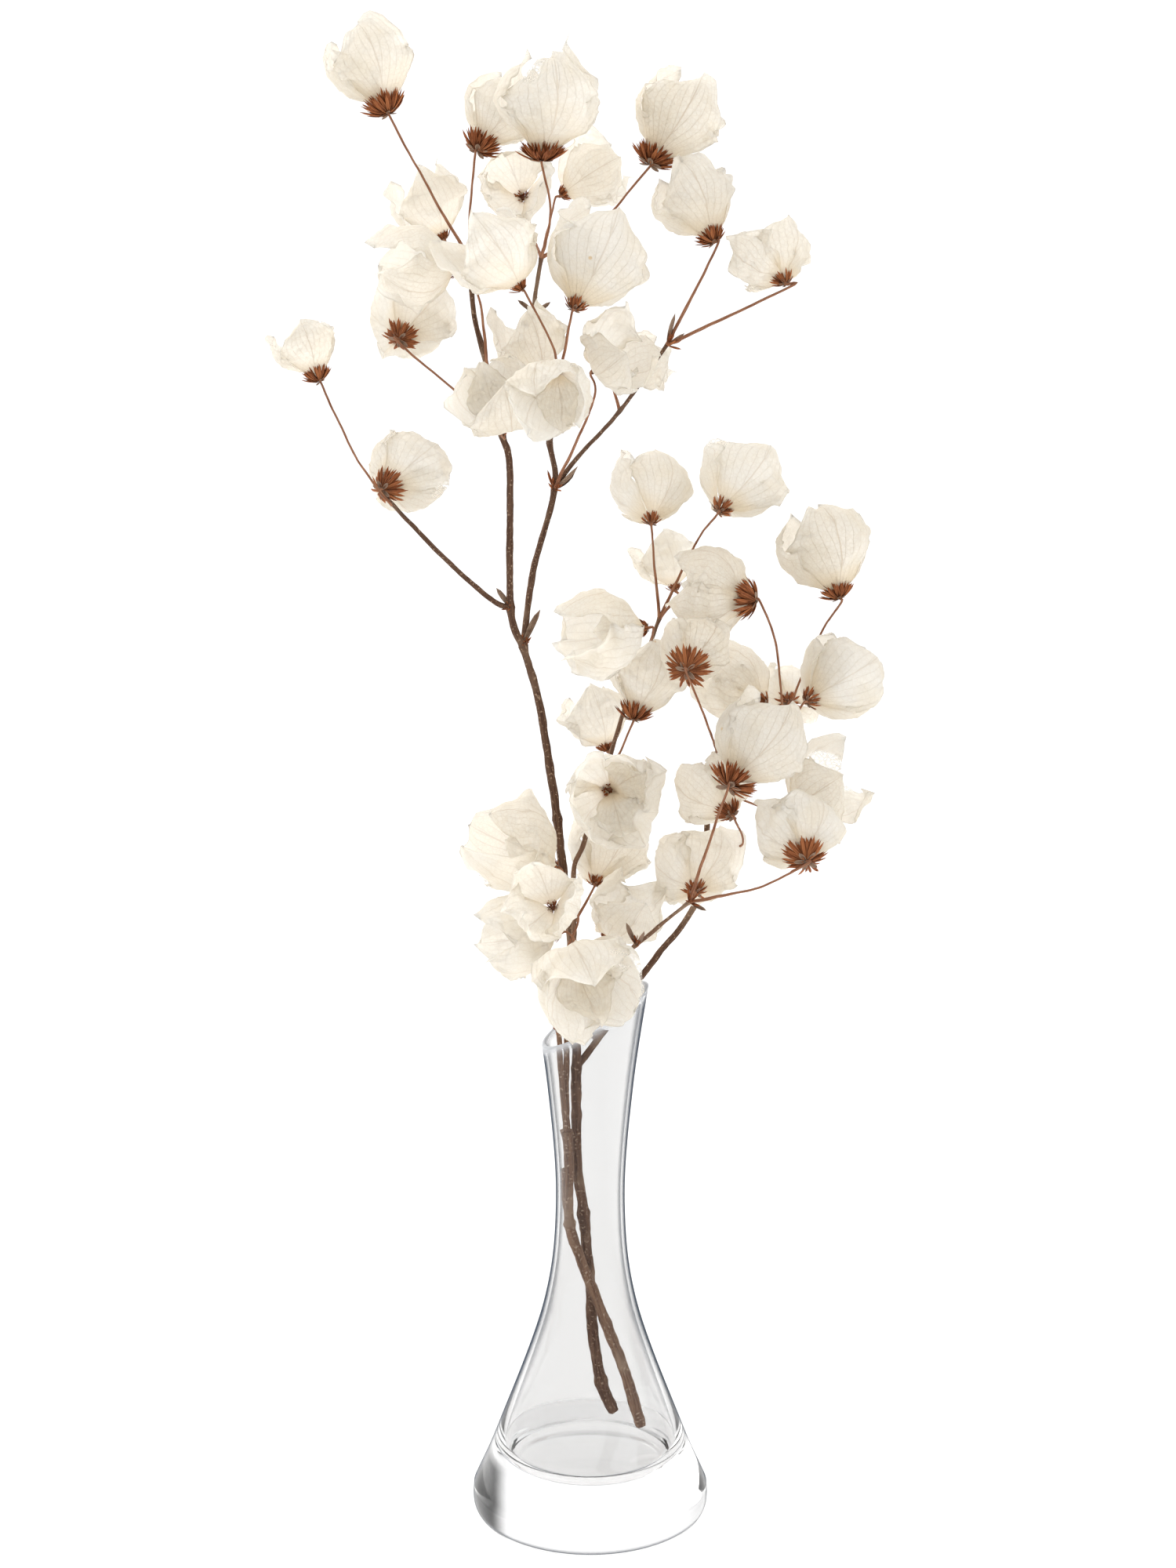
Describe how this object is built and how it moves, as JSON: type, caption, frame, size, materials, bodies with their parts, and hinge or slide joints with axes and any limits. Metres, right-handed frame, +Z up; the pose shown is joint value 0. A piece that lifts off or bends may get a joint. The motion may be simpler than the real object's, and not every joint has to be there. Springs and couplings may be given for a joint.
{
  "type": "dried bougainvillea in a glass carafe",
  "caption": "Clear glass carafe with a slanted mouth and heavy base, holding cut branches of dried, bleached bougainvillea whose papery cream blooms sit in toothed brown cups.",
  "frame": {"origin": "middle of the carafe's flat underside, on the surface that it stands on", "axes": "+Z up along the carafe's axis, -Y towards the front, +X towards the mouth's high side"},
  "size_m": [0.2498, 0.1655, 0.6389],
  "materials": {
    "clear_glass": "clear blown glass, polished",
    "dark_bark": "dry grey-brown bark with red-brown cups",
    "pale_bark": "dry pale tan bark with red-brown cups",
    "papery_bract": "thin, matte, papery bleached bract"
  },
  "bodies": {
    "root": {"bloom_column": "papery_bract", "bloom_column_back": "papery_bract", "bloom_crown": "papery_bract", "bloom_crown_right": "papery_bract", "bloom_crown_small": "papery_bract", "bloom_fan_cup": "papery_bract", "bloom_far_back": "papery_bract", "bloom_far_left": "papery_bract", "bloom_fork": "papery_bract", "bloom_front_globe": "papery_bract", "bloom_front_left": "papery_bract", "bloom_front_small": "papery_bract", "bloom_inner_back": "papery_bract", "bloom_left_back": "papery_bract", "bloom_left_ear": "papery_bract", "bloom_left_globe": "papery_bract", "bloom_left_star": "papery_bract", "bloom_low_back": "papery_bract", "bloom_low_back_ear": "papery_bract", "bloom_low_behind": "papery_bract", "bloom_low_fan": "papery_bract", "bloom_low_left": "papery_bract", "bloom_low_left_ear": "papery_bract", "bloom_low_outer": "papery_bract", "bloom_low_right_ear": "papery_bract", "bloom_middle_inner": "papery_bract", "bloom_middle_left": "papery_bract", "bloom_middle_low": "papery_bract", "bloom_middle_right": "papery_bract", "bloom_middle_small": "papery_bract", "bloom_open_face": "papery_bract", "bloom_outer_star": "papery_bract", "bloom_right_cup": "papery_bract", "bloom_right_far": "papery_bract", "bloom_right_point": "papery_bract", "bloom_right_upper": "papery_bract", "bloom_rim_front": "papery_bract", "bloom_rim_left": "papery_bract", "bloom_rim_right": "papery_bract", "bloom_side_left": "papery_bract", "bloom_top_left": "papery_bract", "bloom_top_middle": "papery_bract", "bloom_top_right": "papery_bract", "bloom_top_second": "papery_bract", "dark_branch": "dark_bark", "pale_branch": "pale_bark", "vase": "clear_glass"}
  },
  "joints": []
}
